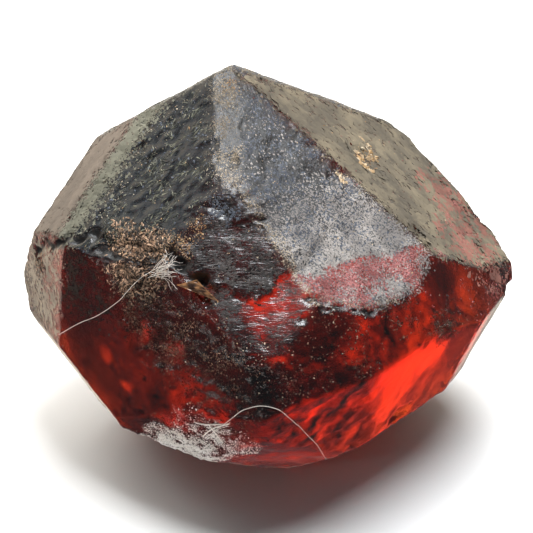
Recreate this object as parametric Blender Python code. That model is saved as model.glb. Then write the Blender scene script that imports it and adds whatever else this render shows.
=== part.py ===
"""Rough garnet crystal, 26 mm wide, resting on the flat broken face under it.

The stone is a single crystal of the cubic system. Its habit joins the rhombic dodecahedron {110}
and the trapezohedron {211}, with narrow faces of a few other forms between them. Each growth face
is a plane, given by its Miller indices and its distance from the crystal's centre. The planes make
a closed hull. The hull is meshed, its edges are worn round, and then the etched relief, the ledges,
the grooves, the pits and the chips are pressed into it.

Lengths named here are millimetres measured from the crystal's centre, +X to the right and +Z up,
with the front of the stone towards -Y. The finished mesh is in metres and stands on Z = 0.
"""

import math

import bmesh
import bpy
import numpy as np
from mathutils import Euler, Vector, noise
from mathutils.geometry import delaunay_2d_cdt

MM = 0.001

# The crystal stands almost upright on one four-fold axis, leaning a few degrees
CRYSTAL_LEAN_X = 3.7
CRYSTAL_LEAN_Y = 3.7
CRYSTAL_TURN_Z = -89.4

# The flat broken base, and where the crystal's centre is above the middle of the footprint
BASE_DISTANCE = 8.7
CENTRE_X = -0.18
CENTRE_Y = 0.26

# Each face: Miller indices, distance from the centre, finish
FACES = {
    "centre": ((1, 0, 1), 11.1, "striated"),
    "ridge_strip": ((1, 0, 2), 11.1, "etched"),
    "upper_left": ((1, -1, 2), 10.9, "etched"),
    "upper_right": ((4, 5, 8), 9.35, "etched"),
    "left_band": ((1, -2, 3), 11.25, "smooth"),
    "far_left": ((0, -1, 1), 11.3, "smooth"),
    "far_right": ((-1, 15, 16), 8.5, "smooth"),
    "front_left": ((3, -2, 1), 11.45, "granular"),
    "front_strip": ((2, 0, 1), 12.65, "granular"),
    "front_right": ((2, 1, 1), 11.95, "granular"),
    "lower_right": ((2, 2, 1), 11.45, "smooth"),
    "side_right": ((1, 2, 1), 10.85, "smooth"),
    "side_right_rim": ((1, 3, 1), 11.45, "smooth"),
    "side_right_foot": ((2, 3, 1), 11.45, "smooth"),
    "left": ((7, -7, 1), 11.3, "smooth"),
    "left_foot": ((6, -5, 1), 11.45, "smooth"),
    "left_rim": ((3, -7, 1), 11.85, "smooth"),
    "under_left": ((2, -1, -1), 11.5, "granular"),
    "under_front": ((1, 0, -1), 10.4, "granular"),
    "under_right": ((2, 1, -1), 11.3, "granular"),
    "under_right_rim": ((2, 2, -1), 10.95, "smooth"),
    "under_right_side": ((1, 2, -1), 11.4, "smooth"),
    "under_right_foot": ((1, 1, -2), 9.7, "granular"),
    "under_left_side": ((1, -2, -1), 11.15, "smooth"),
    "under_left_foot": ((1, -1, -2), 9.5, "granular"),
    "back_left_low": ((-1, -2, -1), 10.3, "granular"),
    "back_left_side": ((-1, -2, 1), 11.0, "smooth"),
    "back_left": ((-1, -1, 0), 10.9, "smooth"),
    "back_left_top": ((-1, -1, 2), 10.6, "etched"),
    "back_right_top": ((-1, 1, 2), 9.8, "etched"),
    "back_top": ((-1, 0, 1), 10.9, "striated"),
    "back_upper_right": ((-2, 1, 1), 11.3, "etched"),
    "back_upper_left": ((-2, -1, 1), 11.0, "etched"),
    "back_right": ((-1, 1, 0), 11.5, "smooth"),
    "back_right_side": ((-1, 2, 1), 11.7, "smooth"),
    "back_right_low": ((-1, 2, -1), 11.55, "granular"),
    "back_under_right": ((-2, 1, -1), 11.0, "granular"),
    "back_under_left": ((-2, -1, -1), 10.8, "granular"),
    "back_under": ((-1, 0, -1), 10.6, "granular"),
    "side_under_right": ((0, 1, -1), 11.3, "granular"),
    "side_under_left": ((0, -1, -1), 11.0, "granular"),
}

# Each finish: height of the relief, and how many of its lumps there are in a millimetre
FINISHES = {
    "etched": (0.07, 0.55),
    "striated": (0.06, 0.60),
    "granular": (0.10, 0.70),
    "smooth": (0.04, 0.30),
}

# Wear of the edges: the radius that they are rounded to, and how much it varies along them
WEAR_ROUND = 0.035
WEAR_VARIES = 0.8
WEAR_LUMPS_PER_MM = 0.35

# The rim of the broken base is chipped back unevenly, up to this depth and this far up the sides
BASE_CHIPPING = 0.35
BASE_CHIPPING_HEIGHT = 0.9
BASE_LUMPS_PER_MM = 0.45

# Ledges are steps across a face. The side that is lower follows the points to their right
# Each ledge: points, drop, how far the drop fades away
LEDGES = {
    "plate_edge_centre": (
        [(-3.3, -10.2, 5.1), (-2.4, -10.5, 4.8), (-1.2, -10.7, 4.7), (-0.4, -10.8, 4.5), (0.3, -10.4, 5.0)]
        + [(1.3, -9.8, 5.7)],
        0.20,
        4.0,
    ),
    "plate_edge_right": (
        [(1.7, -9.5, 5.7), (2.6, -9.3, 5.3), (3.6, -8.6, 5.1), (4.7, -7.6, 5.1), (5.6, -6.9, 4.9)]
        + [(6.5, -6.3, 4.8), (7.7, -5.3, 4.7)],
        0.05,
        2.5,
    ),
    "upper_left_foot": (
        [(-7.3, -6.9, 5.7), (-6.2, -7.8, 5.9), (-5.3, -8.5, 6.0), (-4.6, -9.0, 6.1)],
        0.24,
        1.6,
    ),
    "centre_lip": ([(-3.1, -8.5, 7.0), (-2.6, -8.4, 7.1), (-1.2, -8.4, 7.2), (-0.1, -8.4, 7.3)], 0.07, 1.2),
    "right_step": ([(9.5, 6.0, 3.2), (10.6, 3.6, 2.3), (11.4, 1.2, 1.7), (11.6, -1.6, 1.4)], 0.10, 2.5),
    "back_top_ledge": ([(4.5, 9.5, 5.4), (1.5, 9.0, 6.4), (-2.0, 9.4, 6.2), (-4.0, 9.9, 5.6)], 0.20, 3.0),
    "back_left_ledge": ([(-6.0, 9.2, 3.0), (-7.6, 7.6, 1.0), (-9.2, 6.0, -1.5)], 0.16, 3.0),
    "back_right_ledge": ([(10.0, 6.6, -2.0), (8.6, 8.0, 0.0), (7.2, 9.3, 1.8)], 0.16, 3.0),
}
LEDGE_WIDTH = 0.22

# Ledges, grooves and scoops wander off their given lines by up to this much, and grooves vary in depth
WANDER = 0.35
WANDER_PER_MM = 0.9
RAGGED_PER_MM = 1.1

# Grooves are cracks and undercuts along a line. Each groove: points, depth, half width
GROOVES = {
    "crevice": ([(-4.8, -9.1, 6.0), (-4.3, -9.5, 5.8), (-3.8, -9.8, 5.5), (-3.2, -10.2, 5.1)], 0.75, 0.40),
    "foot_of_upper_right": (
        [(2.2, -10.9, 4.5), (2.9, -11.0, 4.1), (4.1, -10.5, 3.7), (5.5, -9.9, 3.2), (6.3, -9.2, 3.2)],
        0.24,
        0.32,
    ),
    "left_crack": (
        [(-12.1, -1.7, 2.1), (-10.4, -5.2, 4.6), (-9.4, -6.0, 5.1), (-8.5, -6.1, 5.5)],
        0.26,
        0.40,
    ),
    "crumbled_seam": ([(-8.4, -7.0, 4.9), (-7.0, -8.0, 5.0), (-5.6, -9.0, 5.3)], 0.16, 0.45),
    "lip_crack": ([(-1.1, -8.4, 7.2), (-0.5, -8.4, 7.3), (0.1, -8.4, 7.3)], 0.24, 0.26),
    "back_crack": ([(-1.0, 10.4, 3.6), (0.4, 11.3, 1.4), (1.0, 11.8, -0.8)], 0.25, 0.36),
}

# Pits and chips are scoops about a point. Each scoop: point, radius, depth
SCOOPS = {
    "pit_right_of_lip": ((1.8, -9.4, 5.7), 0.55, 0.22),
    "pit_far_right_edge": ((7.8, -4.3, 4.6), 0.55, 0.20),
    "pit_ridge": ((-1.7, -5.7, 9.4), 0.50, 0.14),
    "pit_ledge_end": ((2.6, -10.8, 4.4), 0.55, 0.26),
    "pit_upper_right": ((4.4, -4.3, 7.1), 0.60, 0.12),
    "flake_far_right": ((5.3, 0.1, 6.6), 1.30, 0.22),
    "flake_by_edge": ((3.8, -3.8, 7.7), 0.80, 0.14),
    "flake_under_crevice": ((-3.2, -10.7, 4.5), 0.80, 0.16),
    "hollow_below_ridge": ((-2.1, -7.9, 7.8), 0.85, 0.10),
    "chip_front_left_edge": ((-6.5, -9.3, 1.5), 0.90, 0.20),
    "notch_right": ((11.6, 3.9, 1.5), 1.00, 0.30),
    "notch_right_low": ((13.0, -0.1, -0.9), 0.70, 0.28),
    "notch_lower_right": ((6.8, -7.5, -4.4), 0.80, 0.35),
    "chip_apex": ((-1.4, -0.9, 12.2), 1.20, 0.25),
    "chip_back_corner": ((-8.6, 7.9, -3.2), 1.60, 0.45),
    "chip_back_edge": ((8.3, 9.0, 0.2), 1.30, 0.35),
    "chip_back_top": ((2.0, 8.2, 7.6), 1.20, 0.30),
    "chip_base_edge": ((5.8, 4.8, -8.6), 1.30, 0.35),
}

# The crumbled patch between the upper left face and the face under it
CRUMBLED_CENTRE = (-6.4, -8.6, 5.0)
CRUMBLED_RADIUS = 2.2
CRUMBLED_RELIEF = 0.16
CRUMBLED_LUMPS_PER_MM = 1.3

# The mesh: spacing of its points, and of the points that follow a ledge, a groove or a scoop
SPACING = 0.64
FINE_SPACING = 0.34
KEEP_CLEAR = 0.24
SHORTEST_EDGE = 0.20
FLAT_BASE_BAND = 0.001
START_CUBE = 40.0


def crystal_rotation():
    angles = [math.radians(a) for a in (CRYSTAL_LEAN_X, CRYSTAL_LEAN_Y, CRYSTAL_TURN_Z)]
    return Euler(angles, "XYZ").to_matrix()


def growth_faces():
    """The outward normals, the distances and the finishes of the growth faces."""
    rotation = crystal_rotation()
    normals = [rotation @ Vector(indices).normalized() for indices, _distance, _finish in FACES.values()]
    distances = [distance for _indices, distance, _finish in FACES.values()]
    finishes = [finish for _indices, _distance, finish in FACES.values()]
    return normals, distances, finishes


def crystal_hull(normals, distances):
    """A convex bmesh cut by every growth face and then by the broken base."""
    hull = bmesh.new()
    bmesh.ops.create_cube(hull, size=START_CUBE)
    cuts = [*zip(normals, distances), (Vector((0, 0, -1)), BASE_DISTANCE)]
    for normal, distance in cuts:
        geometry = hull.verts[:] + hull.edges[:] + hull.faces[:]
        cut = bmesh.ops.bisect_plane(
            hull, geom=geometry, plane_co=normal * distance, plane_no=normal, clear_outer=True
        )
        rim = [part for part in cut["geom_cut"] if isinstance(part, bmesh.types.BMEdge)]
        if rim:
            bmesh.ops.holes_fill(hull, edges=rim)
    bmesh.ops.remove_doubles(hull, verts=hull.verts[:], dist=SHORTEST_EDGE)
    for vert in hull.verts:
        if vert.co.z < SHORTEST_EDGE - BASE_DISTANCE:
            vert.co.z = -BASE_DISTANCE
    return hull


def polyline_points(corners, spacing):
    """Points along a line of straight runs, at about this spacing."""
    points = []
    for start, end in zip(corners, corners[1:]):
        start, end = Vector(start), Vector(end)
        count = max(1, round((end - start).length / spacing))
        points += [start.lerp(end, step / count) for step in range(count)]
    return points + [Vector(corners[-1])]


def beside(corners, gap):
    """The same line moved sideways over the stone, to the right for a gap above zero."""
    run = Vector(corners[-1]) - Vector(corners[0])
    middle = Vector(corners[len(corners) // 2])
    return [Vector(corner) + run.cross(middle).normalized() * gap for corner in corners]


def feature_points():
    """Points that the mesh follows, so that ledges, grooves and scoops come out crisp."""
    points = []
    for corners, _drop, _fade in LEDGES.values():
        points += polyline_points(corners, FINE_SPACING)
        points += polyline_points(beside(corners, LEDGE_WIDTH), FINE_SPACING)
    for corners, _depth, half_width in GROOVES.values():
        points += polyline_points(corners, FINE_SPACING)
        points += polyline_points(beside(corners, half_width), FINE_SPACING)
        points += polyline_points(beside(corners, -half_width), FINE_SPACING)
    for centre, radius, _depth in SCOOPS.values():
        points.append(Vector(centre))
        around = max(5, round(math.tau * radius * 0.6 / FINE_SPACING / 1.5))
        for step in range(around):
            angle = math.tau * step / around
            ring = Vector((math.cos(angle), math.sin(angle), 0)) * radius * 0.6
            points.append(Vector(centre) + ring)
    return [Vector(point) for point in wandered(np.array(points), -1)]


def edge_points(hull, vertices):
    """The shared points along each hull edge, added to the list of vertices."""
    corner = {}
    for vert in hull.verts:
        corner[vert] = len(vertices)
        vertices.append(vert.co.copy())
    along = {}
    for edge in hull.edges:
        start, end = edge.verts
        count = max(1, round(edge.calc_length() / SPACING))
        inner = range(len(vertices), len(vertices) + count - 1)
        vertices += [start.co.lerp(end.co, step / count) for step in range(1, count)]
        along[edge] = (corner[start], [corner[start], *inner, corner[end]])
    return along


def face_outline(face, along):
    """The indices of the points round a hull face, in the face's own order."""
    outline = []
    for loop in face.loops:
        first, run = along[loop.edge]
        start = run if along_starts_at(loop, first, along) else run[::-1]
        outline += start[:-1]
    return outline


def along_starts_at(loop, first, along):
    """True if the loop runs along its edge in the order in which the points were made."""
    previous = loop.link_loop_prev.edge
    ends = (along[previous][1][0], along[previous][1][-1])
    return first in ends


def inside_margin(point, outline, margin):
    """True if a 2D point is inside a convex outline that runs counterclockwise, clear of its sides."""
    for start, end in zip(outline, outline[1:] + outline[:1]):
        side = end - start
        if side.length < 1e-6:
            continue
        if side.cross(point - start) / side.length < margin:
            return False
    return True


def fill_points(outline, extras):
    """A triangular grid inside the outline, which gives way to the extra points."""
    low_x = min(point.x for point in outline)
    high_x = max(point.x for point in outline)
    low_y = min(point.y for point in outline)
    high_y = max(point.y for point in outline)
    row_step = SPACING * math.sqrt(3) / 2
    points = []
    for extra in extras:
        if inside_margin(extra, outline, KEEP_CLEAR):
            if all((extra - other).length > FINE_SPACING * 0.6 for other in points):
                points.append(extra)
    kept_extras = list(points)
    rows = int((high_y - low_y) / row_step) + 1
    columns = int((high_x - low_x) / SPACING) + 2
    for row in range(rows):
        for column in range(columns):
            x = low_x + (column + 0.5 * (row % 2)) * SPACING
            candidate = Vector((x, low_y + (row + 0.5) * row_step))
            if not inside_margin(candidate, outline, SPACING * 0.5):
                continue
            if all((candidate - extra).length > FINE_SPACING for extra in kept_extras):
                points.append(candidate)
    return points


def flattened(points, middle, axis_u, axis_v):
    """The points in a face's own two axes."""
    return [Vector(((point - middle).dot(axis_u), (point - middle).dot(axis_v))) for point in points]


def mesh_hull(hull):
    """Vertices and triangles of the whole hull, with equal spacing and shared edges."""
    vertices = []
    triangles = []
    along = edge_points(hull, vertices)
    features = feature_points()
    for face in hull.faces:
        normal = face.normal.copy()
        middle = face.calc_center_median()
        axis_u = normal.orthogonal().normalized()
        axis_v = normal.cross(axis_u)
        outline = face_outline(face, along)
        flat = flattened([vertices[i] for i in outline], middle, axis_u, axis_v)
        near = [point for point in features if abs((point - middle).dot(normal)) < 2 * KEEP_CLEAR]
        extras = flattened(near, middle, axis_u, axis_v)
        inner = [] if normal.z < -0.999 else fill_points(flat, extras)
        count = len(flat)
        rim = [(i, (i + 1) % count) for i in range(count)]
        made = delaunay_2d_cdt(flat + inner, rim, [], 1, 1e-5)
        index = {}
        for new, sources in enumerate(made[3]):
            source = sources[0] if sources else None
            if source is not None and source < count:
                index[new] = outline[source]
                continue
            index[new] = len(vertices)
            spot = made[0][new]
            vertices.append(middle + axis_u * spot.x + axis_v * spot.y)
        for triangle in made[2]:
            triangles.append(tuple(index[i] for i in triangle))
    return np.array([tuple(v) for v in vertices]), triangles


def noise_at(points, lumps_per_mm, seed, octaves=3):
    """Smooth noise between about -1 and 1 at each point."""
    shift = Vector((11.3, 5.7, 3.1)) * seed
    values = [noise.fractal(Vector(p) * lumps_per_mm + shift, 0.9, 2.1, octaves) for p in points]
    return np.array(values)


def worn_surface(points, normals, distances):
    """Moves each point along its ray from the centre onto the hull with rounded edges."""
    reach = np.linalg.norm(points, axis=1)
    rays = points / reach[:, None]
    facing = rays @ normals.T
    vary = 1 + WEAR_VARIES * noise_at(points, WEAR_LUMPS_PER_MM, 1)
    rounding = WEAR_ROUND * np.clip(vary, 0.35, 2.2)
    for _ in range(25):
        excess = (facing * reach[:, None] - distances) / rounding[:, None]
        weight = np.exp(np.clip(excess, -60, 40))
        total = weight.sum(axis=1)
        height = rounding * np.log(total)
        slope = (weight * facing).sum(axis=1) / total
        reach = reach - height / slope
    return rays * reach[:, None]


def face_weights(points, normals, distances, blend):
    """How much each point belongs to each face, one row for a point."""
    depth = points @ normals.T - distances
    weight = np.exp((depth - depth.max(axis=1, keepdims=True)) / blend)
    return weight / weight.sum(axis=1, keepdims=True)


def line_distance(points, corners):
    """Distance of each point to a line of straight runs, and the signed side that it is on."""
    nearest = np.full(len(points), 1e9)
    side = np.zeros(len(points))
    for start, end in zip(corners, corners[1:]):
        start, end = np.array(start), np.array(end)
        run = end - start
        share = np.clip((points - start) @ run / (run @ run), 0, 1)
        offset = points - (start + share[:, None] * run)
        gap = np.linalg.norm(offset, axis=1)
        outward = (start + end) / np.linalg.norm(start + end)
        turn = np.cross(run, outward) / np.linalg.norm(run)
        closer = gap < nearest
        nearest = np.where(closer, gap, nearest)
        side = np.where(closer, offset @ turn, side)
    return nearest, side


def wandered(points, way=1):
    """The points shaken a little, so that a line found from them comes out ragged."""
    shake = [noise_at(points, WANDER_PER_MM, seed, 2) for seed in (51, 52, 53)]
    return points + way * WANDER * np.column_stack(shake)


def ledge_drop(points):
    """Depth pressed in below each ledge."""
    depth = np.zeros(len(points))
    for corners, drop, fade in LEDGES.values():
        gap, side = line_distance(points, corners)
        step = np.clip(side / LEDGE_WIDTH, 0, 1)
        depth += drop * step * np.exp(-((gap / fade) ** 2) * 2)
    return depth


def groove_drop(points, ragged):
    """Depth of the cracks, the crevice and the undercut ledge, deeper and shallower along them."""
    depth = np.zeros(len(points))
    for corners, deepest, half_width in GROOVES.values():
        gap, _side = line_distance(points, corners)
        depth = np.maximum(depth, deepest * np.clip(1.1 - gap / half_width, 0, 1))
    return depth * ragged


def scoop_drop(points):
    """Depth of the pits and chips."""
    depth = np.zeros(len(points))
    for centre, radius, deepest in SCOOPS.values():
        gap = np.linalg.norm(points - np.array(centre), axis=1)
        depth = np.maximum(depth, deepest * np.clip(1.1 * (1 - (gap / radius) ** 2), 0, 1))
    return depth


def base_drop(points):
    """Depth of the chipping round the rim of the base."""
    climb = np.clip((points[:, 2] + BASE_DISTANCE) / BASE_CHIPPING_HEIGHT, 0, 1)
    lumps = np.clip(0.35 + noise_at(points, BASE_LUMPS_PER_MM, 8), 0, 1)
    return BASE_CHIPPING * lumps * (1 - climb) ** 2


def relief(points, normals, distances, finishes):
    """Height of the etched, granular, striated and smooth relief, and of the crumbled patch."""
    weights = face_weights(points, normals, distances, blend=0.25)
    height = np.zeros(len(points))
    for number, finish in enumerate(FINISHES):
        size, lumps_per_mm = FINISHES[finish]
        share = weights[:, [f == finish for f in finishes]].sum(axis=1)
        height += share * size * noise_at(points, lumps_per_mm, 2 + number)
    gap = np.linalg.norm(points - np.array(CRUMBLED_CENTRE), axis=1)
    crumbled = np.clip(1.3 * (1 - gap / CRUMBLED_RADIUS), 0, 1)
    lumps = noise_at(points, CRUMBLED_LUMPS_PER_MM, 9)
    return height + crumbled * CRUMBLED_RELIEF * lumps


def stone_points(points, normals, distances, finishes):
    """The finished surface: worn edges first, then relief, ledges, grooves and scoops."""
    normals = np.array([tuple(normal) for normal in normals])
    distances = np.array(distances)
    on_base = points[:, 2] < FLAT_BASE_BAND - BASE_DISTANCE
    worn = worn_surface(points, normals, distances)
    outward = face_weights(worn, normals, distances, blend=0.15) @ normals
    outward /= np.linalg.norm(outward, axis=1)[:, None]
    shaken = wandered(worn)
    ragged = np.clip(0.75 + 1.2 * noise_at(worn, RAGGED_PER_MM, 54), 0.1, 1.3)
    pressed = ledge_drop(shaken) + groove_drop(shaken, ragged) + scoop_drop(shaken) + base_drop(worn)
    height = relief(worn, normals, distances, finishes) - pressed
    stone = worn + outward * height[:, None]
    stone += np.array((CENTRE_X, CENTRE_Y, BASE_DISTANCE))
    stone[on_base, 2] = 0.0
    return stone


def garnet_material():
    material = bpy.data.materials.new("garnet")
    material.use_nodes = True
    shader = material.node_tree.nodes["Principled BSDF"]
    shader.inputs["Base Color"].default_value = (0.26, 0.02, 0.015, 1)
    shader.inputs["Roughness"].default_value = 0.45
    shader.inputs["Metallic"].default_value = 0.0
    shader.inputs["IOR"].default_value = 1.79
    return material


def clear_scene():
    for obj in list(bpy.data.objects):
        bpy.data.objects.remove(obj)


def make_crystal():
    normals, distances, finishes = growth_faces()
    hull = crystal_hull(normals, distances)
    points, triangles = mesh_hull(hull)
    hull.free()
    points = stone_points(points, normals, distances, finishes) * MM
    mesh = bpy.data.meshes.new("garnet_crystal")
    mesh.from_pydata([tuple(p) for p in points], [], triangles)
    crystal = bpy.data.objects.new("garnet_crystal", mesh)
    bpy.context.scene.collection.objects.link(crystal)
    mesh.materials.append(garnet_material())
    mesh.shade_smooth()
    mesh.set_sharp_from_angle(angle=math.radians(16))
    return crystal


clear_scene()
make_crystal()
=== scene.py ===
import math

import bmesh
import bpy
import numpy as np
from mathutils import Euler, Matrix, Vector, kdtree, noise


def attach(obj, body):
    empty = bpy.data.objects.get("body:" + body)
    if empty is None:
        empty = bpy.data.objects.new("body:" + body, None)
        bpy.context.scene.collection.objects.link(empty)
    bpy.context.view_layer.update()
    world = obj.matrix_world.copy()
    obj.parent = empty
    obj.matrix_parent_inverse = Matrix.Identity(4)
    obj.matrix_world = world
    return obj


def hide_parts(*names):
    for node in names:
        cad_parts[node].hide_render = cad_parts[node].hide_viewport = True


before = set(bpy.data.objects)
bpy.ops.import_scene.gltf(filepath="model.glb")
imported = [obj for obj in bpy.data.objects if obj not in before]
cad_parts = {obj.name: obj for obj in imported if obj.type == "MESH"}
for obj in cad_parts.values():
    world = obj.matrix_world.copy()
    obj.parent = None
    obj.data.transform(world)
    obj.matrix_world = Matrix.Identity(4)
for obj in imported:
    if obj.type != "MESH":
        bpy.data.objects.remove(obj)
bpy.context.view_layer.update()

MM = 0.001

# The crystal: the same orientation, centre and faces as in its CAD solid, in millimetres
CRYSTAL_LEAN_X = 3.7
CRYSTAL_LEAN_Y = 3.7
CRYSTAL_TURN_Z = -89.4
CENTRE = (-0.18, 0.26, 8.7)
BASE_DISTANCE = 8.7

# Each face: Miller indices, distance from the centre, coarse relief, fine surface, and how much of it
# the dark film covers: painted shade, whole on the upper faces that light from below doesn't reach
FACES = {
    "centre": ((1, 0, 1), 11.1, "striated", "waves", 0.98),
    "ridge_strip": ((1, 0, 2), 11.1, "etched", "frosted", 1.00),
    "upper_left": ((1, -1, 2), 10.9, "etched", "strands", 1.00),
    "upper_right": ((4, 5, 8), 9.35, "etched", "frosted", 1.00),
    "left_band": ((1, -2, 3), 11.25, "smooth", "satin", 1.00),
    "far_left": ((0, -1, 1), 11.3, "smooth", "satin", 0.90),
    "far_right": ((-1, 15, 16), 8.5, "smooth", "satin", 0.90),
    "front_left": ((3, -2, 1), 11.45, "granular", "grains", 0.99),
    "front_strip": ((2, 0, 1), 12.65, "granular", "grains", 1.00),
    "front_right": ((2, 1, 1), 11.95, "granular", "grains", 0.985),
    "lower_right": ((2, 2, 1), 11.45, "smooth", "pitted", 0.32),
    "side_right": ((1, 2, 1), 10.85, "smooth", "polished", 0.50),
    "side_right_rim": ((1, 3, 1), 11.45, "smooth", "satin", 0.40),
    "side_right_foot": ((2, 3, 1), 11.45, "smooth", "satin", 0.40),
    "left": ((7, -7, 1), 11.3, "smooth", "polished", 0.80),
    "left_foot": ((6, -5, 1), 11.45, "smooth", "satin", 0.50),
    "left_rim": ((3, -7, 1), 11.85, "smooth", "satin", 0.30),
    "under_left": ((2, -1, -1), 11.5, "granular", "grains", 0.72),
    "under_front": ((1, 0, -1), 10.4, "granular", "satin", 0.30),
    "under_right": ((2, 1, -1), 11.3, "granular", "pitted", 0.62),
    "under_right_rim": ((2, 2, -1), 10.95, "smooth", "polished", 0.03),
    "under_right_side": ((1, 2, -1), 11.4, "smooth", "polished", 0.10),
    "under_right_foot": ((1, 1, -2), 9.7, "granular", "pitted", 0.10),
    "under_left_side": ((1, -2, -1), 11.15, "smooth", "polished", 0.20),
    "under_left_foot": ((1, -1, -2), 9.5, "granular", "grains", 0.20),
    "back_left_low": ((-1, -2, -1), 10.3, "granular", "frosted", 0.00),
    "back_left_side": ((-1, -2, 1), 11.0, "smooth", "satin", 0.45),
    "back_left": ((-1, -1, 0), 10.9, "smooth", "satin", 0.15),
    "back_left_top": ((-1, -1, 2), 10.6, "granular", "frosted", 1.00),
    "back_right_top": ((-1, 1, 2), 9.8, "etched", "frosted", 1.00),
    "back_top": ((-1, 0, 1), 10.9, "striated", "waves", 1.00),
    "back_upper_right": ((-2, 1, 1), 11.3, "etched", "frosted", 0.80),
    "back_upper_left": ((-2, -1, 1), 11.0, "etched", "strands", 0.80),
    "back_right": ((-1, 1, 0), 11.5, "smooth", "satin", 0.15),
    "back_right_side": ((-1, 2, 1), 11.7, "smooth", "satin", 0.45),
    "back_right_low": ((-1, 2, -1), 11.55, "granular", "frosted", 0.00),
    "back_under_right": ((-2, 1, -1), 11.0, "granular", "frosted", 0.00),
    "back_under_left": ((-2, -1, -1), 10.8, "granular", "frosted", 0.00),
    "back_under": ((-1, 0, -1), 10.6, "granular", "frosted", 0.00),
    "side_under_right": ((0, 1, -1), 11.3, "granular", "frosted", 0.00),
    "side_under_left": ((0, -1, -1), 11.0, "granular", "frosted", 0.00),
}
# How rough the fine surfaces are, from polished 0 to frosted 1
ETCHED = {
    "strands": 0.35,
    "frosted": 0.9,
    "waves": 0.6,
    "grains": 0.4,
    "pitted": 0.35,
    "satin": 0.4,
    "polished": 0.1,
}
# The coarse relief of each kind of face: its height in millimetres, and its lumps to a millimetre
RELIEFS = {
    "etched": (0.07, 0.55),
    "striated": (0.06, 0.60),
    "granular": (0.10, 0.70),
    "smooth": (0.04, 0.30),
}

WEAR_ROUND = 0.035
WEAR_VARIES = 0.8
WEAR_LUMPS_PER_MM = 0.35
BASE_CHIPPING = 0.35
BASE_CHIPPING_HEIGHT = 0.9
BASE_LUMPS_PER_MM = 0.45

LEDGES = {
    "plate_edge_centre": (
        [(-3.3, -10.2, 5.1), (-2.4, -10.5, 4.8), (-1.2, -10.7, 4.7), (-0.4, -10.8, 4.5), (0.3, -10.4, 5.0)]
        + [(1.3, -9.8, 5.7)],
        0.20,
        4.0,
    ),
    "plate_edge_right": (
        [(1.7, -9.5, 5.7), (2.6, -9.3, 5.3), (3.6, -8.6, 5.1), (4.7, -7.6, 5.1), (5.6, -6.9, 4.9)]
        + [(6.5, -6.3, 4.8), (7.7, -5.3, 4.7)],
        0.05,
        2.5,
    ),
    "upper_left_foot": (
        [(-7.3, -6.9, 5.7), (-6.2, -7.8, 5.9), (-5.3, -8.5, 6.0), (-4.6, -9.0, 6.1)],
        0.24,
        1.6,
    ),
    "centre_lip": ([(-3.1, -8.5, 7.0), (-2.6, -8.4, 7.1), (-1.2, -8.4, 7.2), (-0.1, -8.4, 7.3)], 0.07, 1.2),
    "right_step": ([(9.5, 6.0, 3.2), (10.6, 3.6, 2.3), (11.4, 1.2, 1.7), (11.6, -1.6, 1.4)], 0.10, 2.5),
    "back_top_ledge": ([(4.5, 9.5, 5.4), (1.5, 9.0, 6.4), (-2.0, 9.4, 6.2), (-4.0, 9.9, 5.6)], 0.20, 3.0),
    "back_left_ledge": ([(-6.0, 9.2, 3.0), (-7.6, 7.6, 1.0), (-9.2, 6.0, -1.5)], 0.16, 3.0),
    "back_right_ledge": ([(10.0, 6.6, -2.0), (8.6, 8.0, 0.0), (7.2, 9.3, 1.8)], 0.16, 3.0),
}
LEDGE_WIDTH = 0.22
WANDER = 0.35
WANDER_PER_MM = 0.9

GROOVES = {
    "crevice": ([(-4.8, -9.1, 6.0), (-4.3, -9.5, 5.8), (-3.8, -9.8, 5.5), (-3.2, -10.2, 5.1)], 0.75, 0.40),
    "foot_of_upper_right": (
        [(2.2, -10.9, 4.5), (2.9, -11.0, 4.1), (4.1, -10.5, 3.7), (5.5, -9.9, 3.2), (6.3, -9.2, 3.2)],
        0.24,
        0.32,
    ),
    "left_crack": (
        [(-12.1, -1.7, 2.1), (-10.4, -5.2, 4.6), (-9.4, -6.0, 5.1), (-8.5, -6.1, 5.5)],
        0.26,
        0.40,
    ),
    "crumbled_seam": ([(-8.4, -7.0, 4.9), (-7.0, -8.0, 5.0), (-5.6, -9.0, 5.3)], 0.16, 0.45),
    "lip_crack": ([(-1.1, -8.4, 7.2), (-0.5, -8.4, 7.3), (0.1, -8.4, 7.3)], 0.24, 0.26),
    "back_crack": ([(-1.0, 10.4, 3.6), (0.4, 11.3, 1.4), (1.0, 11.8, -0.8)], 0.25, 0.36),
}

SCOOPS = {
    "pit_right_of_lip": ((1.8, -9.4, 5.7), 0.55, 0.22),
    "pit_far_right_edge": ((7.8, -4.3, 4.6), 0.55, 0.20),
    "pit_ridge": ((-1.7, -5.7, 9.4), 0.50, 0.14),
    "pit_ledge_end": ((2.6, -10.8, 4.4), 0.55, 0.26),
    "pit_upper_right": ((4.4, -4.3, 7.1), 0.60, 0.12),
    "flake_far_right": ((5.3, 0.1, 6.6), 1.30, 0.22),
    "flake_by_edge": ((3.8, -3.8, 7.7), 0.80, 0.14),
    "flake_under_crevice": ((-3.2, -10.7, 4.5), 0.80, 0.16),
    "hollow_below_ridge": ((-2.1, -7.9, 7.8), 0.85, 0.10),
    "chip_front_left_edge": ((-6.5, -9.3, 1.5), 0.90, 0.20),
    "notch_right": ((11.6, 3.9, 1.5), 1.00, 0.30),
    "notch_right_low": ((13.0, -0.1, -0.9), 0.70, 0.28),
    "notch_lower_right": ((6.8, -7.5, -4.4), 0.80, 0.35),
    "chip_apex": ((-1.4, -0.9, 12.2), 1.20, 0.25),
    "chip_back_corner": ((-8.6, 7.9, -3.2), 1.60, 0.45),
    "chip_back_edge": ((8.3, 9.0, 0.2), 1.30, 0.35),
    "chip_back_top": ((2.0, 8.2, 7.6), 1.20, 0.30),
    "chip_base_edge": ((5.8, 4.8, -8.6), 1.30, 0.35),
}
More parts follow.
